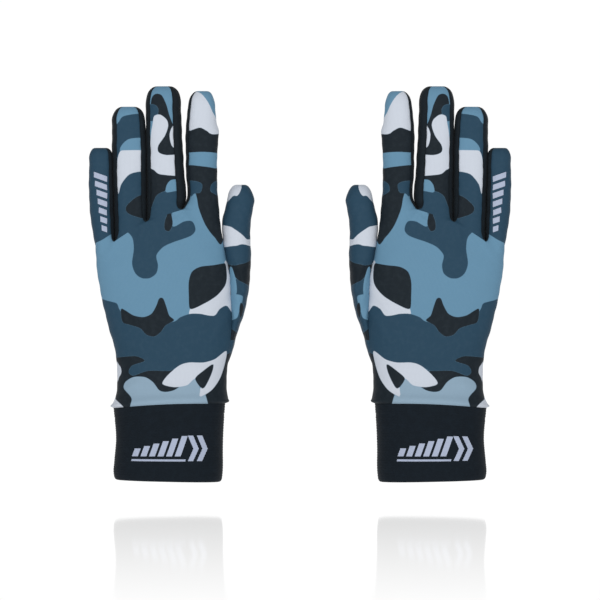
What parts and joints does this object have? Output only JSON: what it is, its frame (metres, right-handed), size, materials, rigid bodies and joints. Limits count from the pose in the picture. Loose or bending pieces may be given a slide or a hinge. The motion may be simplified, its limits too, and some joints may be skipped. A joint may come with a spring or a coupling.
{
  "type": "pair of stretch sports gloves",
  "caption": "Pair of thin full-finger stretch gloves with camouflage-printed backs, plain dark palms and finger sides, touch tips and long double cuffs.",
  "frame": {"origin": "on the surface that the cuffs stand on, midway between the two gloves and midway through their depth", "axes": "+X to the right as seen from the backs of the hands, across the pair; -Y out of the backs of the hands, +Y out of the palms; +Z from cuff to fingertips"},
  "size_m": [0.263, 0.0443, 0.245],
  "materials": {
    "printed_knit": "brushed stretch knit with a camouflage print",
    "plain_knit": "near-black stretch knit",
    "cuff_knit": "near-black double-layer rib knit",
    "touch_knit": "conductive knit, slightly greyer and smoother",
    "transfer_print": "pale matt transfer print",
    "woven_label": "blank woven satin label",
    "seam_thread": "overlocked seam of polyester thread"
  },
  "bodies": {
    "left_hand": {"left_back_panel": "printed_knit", "left_palm_panel": "plain_knit", "left_little_ring_web": "plain_knit", "left_ring_middle_web": "plain_knit", "left_middle_index_web": "plain_knit", "left_thumb_gusset": "printed_knit", "left_cuff_outer": "cuff_knit", "left_cuff_lining": "cuff_knit", "left_wrist_seam": "seam_thread", "left_size_label": "woven_label", "left_cuff_emblem": "transfer_print"},
    "left_little": {"left_little_finger_back": "printed_knit", "left_little_finger_palm": "plain_knit", "left_little_finger_sides": "plain_knit", "left_little_finger_emblem": "transfer_print"},
    "left_ring": {"left_ring_finger_back": "printed_knit", "left_ring_finger_palm": "plain_knit", "left_ring_finger_sides": "plain_knit"},
    "left_middle": {"left_middle_finger_back": "printed_knit", "left_middle_finger_palm": "plain_knit", "left_middle_finger_sides": "plain_knit"},
    "left_index": {"left_index_finger_back": "printed_knit", "left_index_finger_palm": "plain_knit", "left_index_finger_sides": "plain_knit", "left_index_touch_tip": "touch_knit"},
    "left_thumb": {"left_thumb_back": "printed_knit", "left_thumb_palm": "plain_knit", "left_thumb_touch_tip": "touch_knit"},
    "right_hand": {"right_back_panel": "printed_knit", "right_palm_panel": "plain_knit", "right_little_ring_web": "plain_knit", "right_ring_middle_web": "plain_knit", "right_middle_index_web": "plain_knit", "right_thumb_gusset": "printed_knit", "right_cuff_outer": "cuff_knit", "right_cuff_lining": "cuff_knit", "right_wrist_seam": "seam_thread", "right_size_label": "woven_label", "right_cuff_emblem": "transfer_print"},
    "right_little": {"right_little_finger_back": "printed_knit", "right_little_finger_palm": "plain_knit", "right_little_finger_sides": "plain_knit", "right_little_finger_emblem": "transfer_print"},
    "right_ring": {"right_ring_finger_back": "printed_knit", "right_ring_finger_palm": "plain_knit", "right_ring_finger_sides": "plain_knit"},
    "right_middle": {"right_middle_finger_back": "printed_knit", "right_middle_finger_palm": "plain_knit", "right_middle_finger_sides": "plain_knit"},
    "right_index": {"right_index_finger_back": "printed_knit", "right_index_finger_palm": "plain_knit", "right_index_finger_sides": "plain_knit", "right_index_touch_tip": "touch_knit"},
    "right_thumb": {"right_thumb_back": "printed_knit", "right_thumb_palm": "plain_knit", "right_thumb_touch_tip": "touch_knit"}
  },
  "joints": [
    {"name": "pair_separation", "type": "slide", "parent": "left_hand", "child": "right_hand", "axis": [1, 0, 0], "range_m": [0, 0.1]},
    {"name": "left_little_knuckle", "type": "hinge", "parent": "left_hand", "child": "left_little", "pos_m": [-0.12375, 0.0092, 0.1565], "axis": [-1, 0, 0], "range_deg": [0, 75]},
    {"name": "left_ring_knuckle", "type": "hinge", "parent": "left_hand", "child": "left_ring", "pos_m": [-0.10615, 0.0092, 0.1685], "axis": [-1, 0, 0], "range_deg": [0, 75]},
    {"name": "left_middle_knuckle", "type": "hinge", "parent": "left_hand", "child": "left_middle", "pos_m": [-0.0844, 0.0092, 0.176], "axis": [-1, 0, 0], "range_deg": [0, 75]},
    {"name": "left_index_knuckle", "type": "hinge", "parent": "left_hand", "child": "left_index", "pos_m": [-0.0607, 0.0092, 0.176], "axis": [-1, 0, 0], "range_deg": [0, 75]},
    {"name": "left_thumb_base", "type": "hinge", "parent": "left_hand", "child": "left_thumb", "pos_m": [-0.03657, 0.016, 0.12], "axis": [-1, 0, 0], "range_deg": [0, 50]},
    {"name": "right_little_knuckle", "type": "hinge", "parent": "right_hand", "child": "right_little", "pos_m": [0.12375, 0.0092, 0.1565], "axis": [-1, 0, 0], "range_deg": [0, 75]},
    {"name": "right_ring_knuckle", "type": "hinge", "parent": "right_hand", "child": "right_ring", "pos_m": [0.10615, 0.0092, 0.1685], "axis": [-1, 0, 0], "range_deg": [0, 75]},
    {"name": "right_middle_knuckle", "type": "hinge", "parent": "right_hand", "child": "right_middle", "pos_m": [0.0844, 0.0092, 0.176], "axis": [-1, 0, 0], "range_deg": [0, 75]},
    {"name": "right_index_knuckle", "type": "hinge", "parent": "right_hand", "child": "right_index", "pos_m": [0.0607, 0.0092, 0.176], "axis": [-1, 0, 0], "range_deg": [0, 75]},
    {"name": "right_thumb_base", "type": "hinge", "parent": "right_hand", "child": "right_thumb", "pos_m": [0.03657, 0.016, 0.12], "axis": [-1, 0, 0], "range_deg": [0, 50]}
  ]
}
